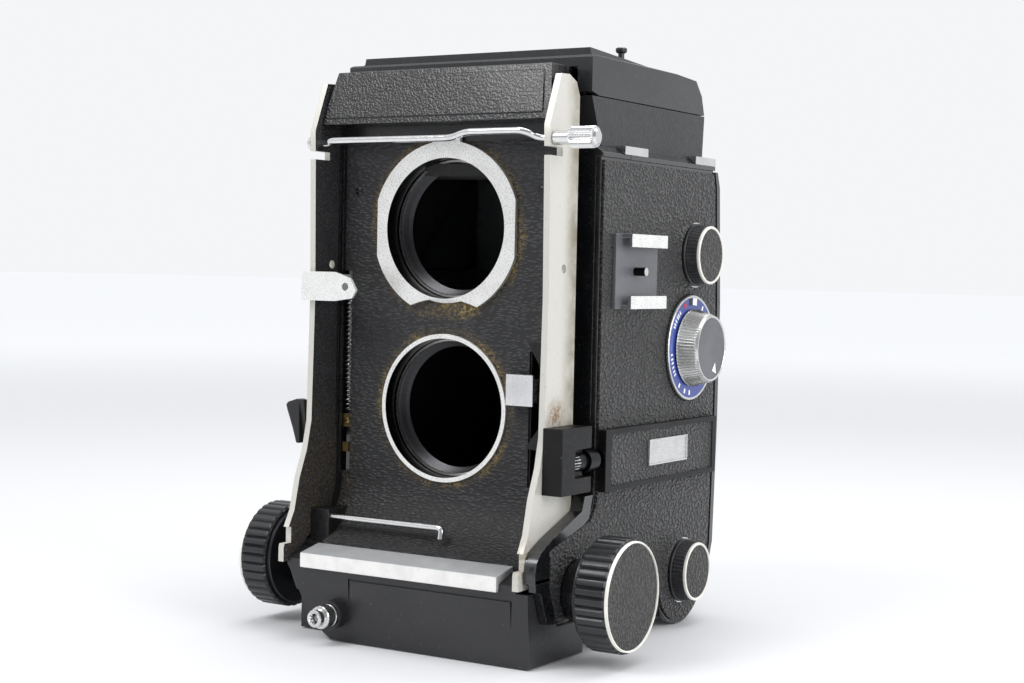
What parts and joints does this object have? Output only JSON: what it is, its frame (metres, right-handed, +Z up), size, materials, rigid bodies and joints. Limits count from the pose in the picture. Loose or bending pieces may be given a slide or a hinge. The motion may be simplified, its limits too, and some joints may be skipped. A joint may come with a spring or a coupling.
{
  "type": "twin lens reflex camera",
  "caption": "Twin lens reflex camera body with a sliding front standard, side focusing knobs, folding hood, film knobs and hinged back.",
  "frame": {"origin": "centre of the tripod socket, in the plane of the camera's base", "axes": "+X across the camera to the side with the accessory shoe, -Y towards the subject, +Z up"},
  "size_m": [0.1218, 0.1156, 0.168],
  "materials": {
    "black_casting": "matt black paint on cast aluminium",
    "black_enamel": "satin black enamel",
    "hood_paint": "smooth satin dark grey paint",
    "body_leather": "coarse pebbled leatherette",
    "panel_leather": "fine creased leatherette",
    "bright_steel": "machined",
    "chrome_wire": "plated",
    "satin_aluminium": "satin machined",
    "plate_silver": "satin silver-white enamel",
    "mirror_glass": "front silvered",
    "clear_glass": "clear",
    "blue_dial": "blue dial with plain marks",
    "bellows_cloth": "black bellows cloth",
    "knob_plastic": "satin black"
  },
  "bodies": {
    "body": {"body_shell": "black_casting", "front_box": "black_casting", "side_cover_right": "black_enamel", "side_cover_left": "black_enamel", "leather_right": "body_leather", "leather_left": "body_leather", "bottom_plate": "black_enamel", "tripod_bush": "bright_steel", "viewing_mirror": "mirror_glass", "focusing_screen": "clear_glass", "accessory_shoe": "satin_aluminium", "scale_housing": "black_enamel", "scale_label": "satin_aluminium", "selector_dial": "blue_dial", "strap_lugs": "bright_steel", "hood_frame": "hood_paint", "counter_window": "clear_glass", "shaft_bushes": "black_enamel", "body_screws": "bright_steel", "bellows": "bellows_cloth"},
    "standard": {"lens_panel": "black_casting", "panel_leather": "panel_leather", "viewing_ring": "satin_aluminium", "taking_ring": "satin_aluminium", "side_plate_right": "plate_silver", "side_plate_left": "plate_silver", "name_cap": "black_enamel", "sill": "satin_aluminium", "base_tray": "black_enamel", "racks": "bright_steel", "scale_block": "black_enamel", "panel_screws": "bright_steel", "cocking_spring": "bright_steel"},
    "release": {"release_button": "bright_steel"},
    "wire": {"lock_wire": "chrome_wire", "lock_knob": "chrome_wire"},
    "cocking": {"cocking_lever": "chrome_wire"},
    "tab": {"release_tab": "chrome_wire"},
    "interlock": {"interlock_wire": "chrome_wire"},
    "bar": {"scale_bar": "bright_steel"},
    "focus": {"focus_shaft": "bright_steel", "focus_knobs": "knob_plastic", "knob_faces": "body_leather"},
    "upper_knob": {"spool_knob_upper": "knob_plastic"},
    "lower_knob": {"spool_knob_lower": "knob_plastic"},
    "selector": {"selector_knob": "satin_aluminium"},
    "baffle": {"light_baffle": "black_casting"},
    "crank": {"crank_hub": "knob_plastic"},
    "arm": {"crank_arm": "satin_aluminium"},
    "spool": {"takeup_spool": "knob_plastic"},
    "door": {"back_door": "black_enamel"},
    "plate": {"pressure_plate": "black_casting"},
    "latch": {"door_latch": "bright_steel"},
    "lid": {"hood_lid": "hood_paint"},
    "wall_right": {"hood_wall_right": "black_casting"},
    "wall_left": {"hood_wall_left": "black_casting"},
    "wall_rear": {"hood_wall_rear": "black_casting"},
    "magnifier": {"magnifier": "clear_glass"},
    "button": {"hood_button": "knob_plastic"},
    "side_lever": {"side_release": "knob_plastic"}
  },
  "joints": [
    {"name": "standard_slide", "type": "slide", "parent": "body", "child": "standard", "axis": [0, -1, 0], "range_m": [0, 0.054], "deforming": ["bellows"]},
    {"name": "focus_turn", "type": "hinge", "parent": "body", "child": "focus", "pos_m": [0, -0.0377, 0.0189], "axis": [-1, 0, 0], "range_deg": [0, 774]},
    {"name": "release_push", "type": "slide", "parent": "standard", "child": "release", "axis": [0, 1, 0], "range_m": [0, 0.003], "stiffness_N_per_m": 400, "springref_m": -0.001},
    {"name": "release_tab_slide", "type": "slide", "parent": "standard", "child": "tab", "axis": [0, 0, -1], "range_m": [0, 0.006]},
    {"name": "lock_wire_swing", "type": "hinge", "parent": "standard", "child": "wire", "pos_m": [0, -0.047, 0.1386], "axis": [-1, 0, 0], "range_deg": [0, 60]},
    {"name": "cocking_slide", "type": "slide", "parent": "standard", "child": "cocking", "axis": [0, 0, 1], "range_m": [-0.022, 0], "stiffness_N_per_m": 30, "springref_m": 0.004, "deforming": ["cocking_spring"]},
    {"name": "interlock_swing", "type": "hinge", "parent": "standard", "child": "interlock", "pos_m": [0, -0.0475, 0.033], "axis": [-1, 0, 0], "range_deg": [0, 30]},
    {"name": "scale_bar_turn", "type": "hinge", "parent": "standard", "child": "bar", "pos_m": [0.04202, -0.028, 0.053], "axis": [0, 1, 0], "continuous": true},
    {"name": "upper_spool_pull", "type": "slide", "parent": "body", "child": "upper_knob", "axis": [1, 0, 0], "range_m": [0, 0.006]},
    {"name": "lower_spool_pull", "type": "slide", "parent": "body", "child": "lower_knob", "axis": [1, 0, 0], "range_m": [0, 0.006]},
    {"name": "selector_turn", "type": "hinge", "parent": "body", "child": "selector", "pos_m": [0.0435, 0.027, 0.082], "axis": [1, 0, 0], "range_deg": [0, 178]},
    {"name": "baffle_swing", "type": "hinge", "parent": "body", "child": "baffle", "pos_m": [0, -0.0104, 0.0884], "axis": [-1, 0, 0], "range_deg": [0, 89]},
    {"name": "crank_turn", "type": "hinge", "parent": "body", "child": "crank", "pos_m": [-0.0435, 0.0296, 0.1094], "axis": [-1, 0, 0], "continuous": true},
    {"name": "crank_fold", "type": "hinge", "parent": "crank", "child": "arm", "pos_m": [-0.0488, 0.0226, 0.1094], "axis": [0, 0, -1], "range_deg": [0, 110]},
    {"name": "spool_turn", "type": "hinge", "parent": "body", "child": "spool", "pos_m": [0, 0.0296, 0.1094], "axis": [-1, 0, 0], "continuous": true},
    {"name": "door_swing", "type": "hinge", "parent": "body", "child": "door", "pos_m": [0, 0.0415, 0.007], "axis": [-1, 0, 0], "range_deg": [0, 90]},
    {"name": "pressure_plate_press", "type": "slide", "parent": "door", "child": "plate", "axis": [0, 1, 0], "range_m": [0, 0.001], "stiffness_N_per_m": 800, "springref_m": -0.0005},
    {"name": "door_latch_slide", "type": "slide", "parent": "door", "child": "latch", "axis": [1, 0, 0], "range_m": [0, 0.003], "stiffness_N_per_m": 300, "springref_m": -0.001},
    {"name": "lid_swing", "type": "hinge", "parent": "body", "child": "lid", "pos_m": [0, -0.0264, 0.1598], "axis": [1, 0, 0], "range_deg": [0, 95]},
    {"name": "wall_right_swing", "type": "hinge", "parent": "body", "child": "wall_right", "pos_m": [0.0373, 0, 0.1418], "axis": [0, 1, 0], "range_deg": [0, 90]},
    {"name": "wall_left_swing", "type": "hinge", "parent": "body", "child": "wall_left", "pos_m": [-0.0373, 0, 0.1418], "axis": [0, -1, 0], "range_deg": [0, 90]},
    {"name": "wall_rear_swing", "type": "hinge", "parent": "body", "child": "wall_rear", "pos_m": [0, 0.0353, 0.1418], "axis": [-1, 0, 0], "range_deg": [0, 90]},
    {"name": "magnifier_swing", "type": "hinge", "parent": "lid", "child": "magnifier", "pos_m": [0, -0.0078, 0.1571], "axis": [-1, 0, 0], "range_deg": [0, 90]},
    {"name": "hood_button_press", "type": "slide", "parent": "lid", "child": "button", "axis": [0, 0, -1], "range_m": [0, 0.0012], "stiffness_N_per_m": 300, "springref_m": -0.001},
    {"name": "side_release_swing", "type": "hinge", "parent": "body", "child": "side_lever", "pos_m": [-0.0435, -0.016, 0.059], "axis": [1, 0, 0], "range_deg": [0, 10], "stiffness_Nm_per_rad": 0.2, "springref_deg": -2.86}
  ],
  "couplings": [
    {"joint": "focus_turn", "follows": "standard_slide", "rad_per_m": 250},
    {"joint": "release_tab_slide", "follows": "release_push", "ratio": 2},
    {"joint": "baffle_swing", "follows": "selector_turn", "ratio": 0.5},
    {"joint": "spool_turn", "follows": "crank_turn", "ratio": 1},
    {"joint": "wall_right_swing", "follows": "lid_swing", "ratio": 0.947},
    {"joint": "wall_left_swing", "follows": "lid_swing", "ratio": 0.947},
    {"joint": "wall_rear_swing", "follows": "lid_swing", "ratio": 0.947},
    {"joint": "magnifier_swing", "follows": "lid_swing", "ratio": 0.947}
  ]
}
